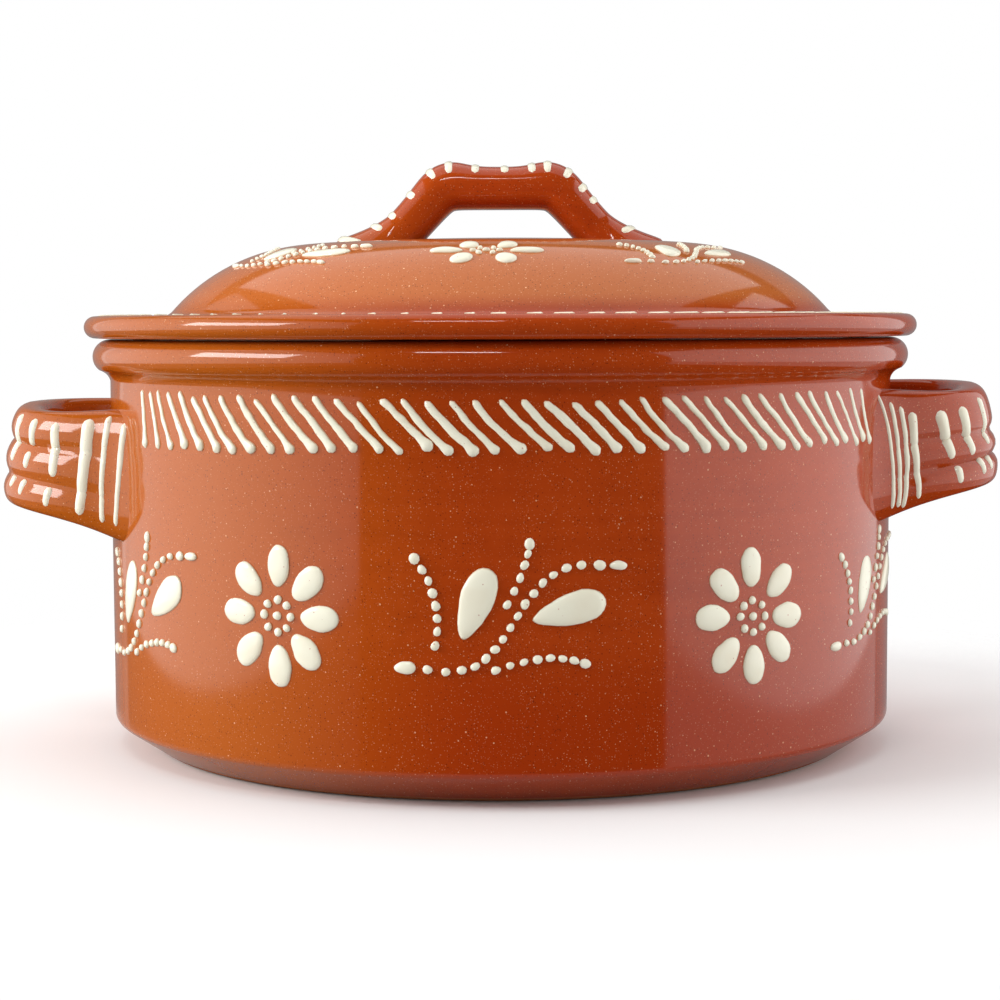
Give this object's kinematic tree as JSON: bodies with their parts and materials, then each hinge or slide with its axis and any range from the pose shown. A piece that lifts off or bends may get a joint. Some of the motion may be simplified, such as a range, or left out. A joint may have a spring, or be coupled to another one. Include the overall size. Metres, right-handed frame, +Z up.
{
  "type": "clay cooking pot",
  "caption": "Low round glazed clay cooking pot with ridged loop handles, a loose domed lid with a bowed grip, and raised white slip flowers and hatching.",
  "frame": {"origin": "centre of the foot, on the table", "axes": "+Z up, +X through the right handle, -Y to the front"},
  "size_m": [0.2958, 0.2448, 0.1718],
  "materials": {
    "glazed_clay": "glossy clear glaze over red clay",
    "slip": "glossy clear glaze over cream slip"
  },
  "bodies": {
    "pot": {"pot_body": "glazed_clay", "left_handle": "glazed_clay", "right_handle": "glazed_clay", "wall_hatching": "slip", "wall_flowers": "slip", "wall_sprigs": "slip", "left_handle_stripes": "slip", "right_handle_stripes": "slip"},
    "lid": {"lid": "glazed_clay", "lid_handle": "glazed_clay", "lid_rim_dashes": "slip", "lid_flowers": "slip", "lid_sprigs": "slip", "lid_handle_dashes": "slip"}
  },
  "joints": [
    {"name": "lid_lift", "type": "slide", "parent": "pot", "child": "lid", "axis": [0, 0, 1], "range_m": [0, 0.12]}
  ]
}
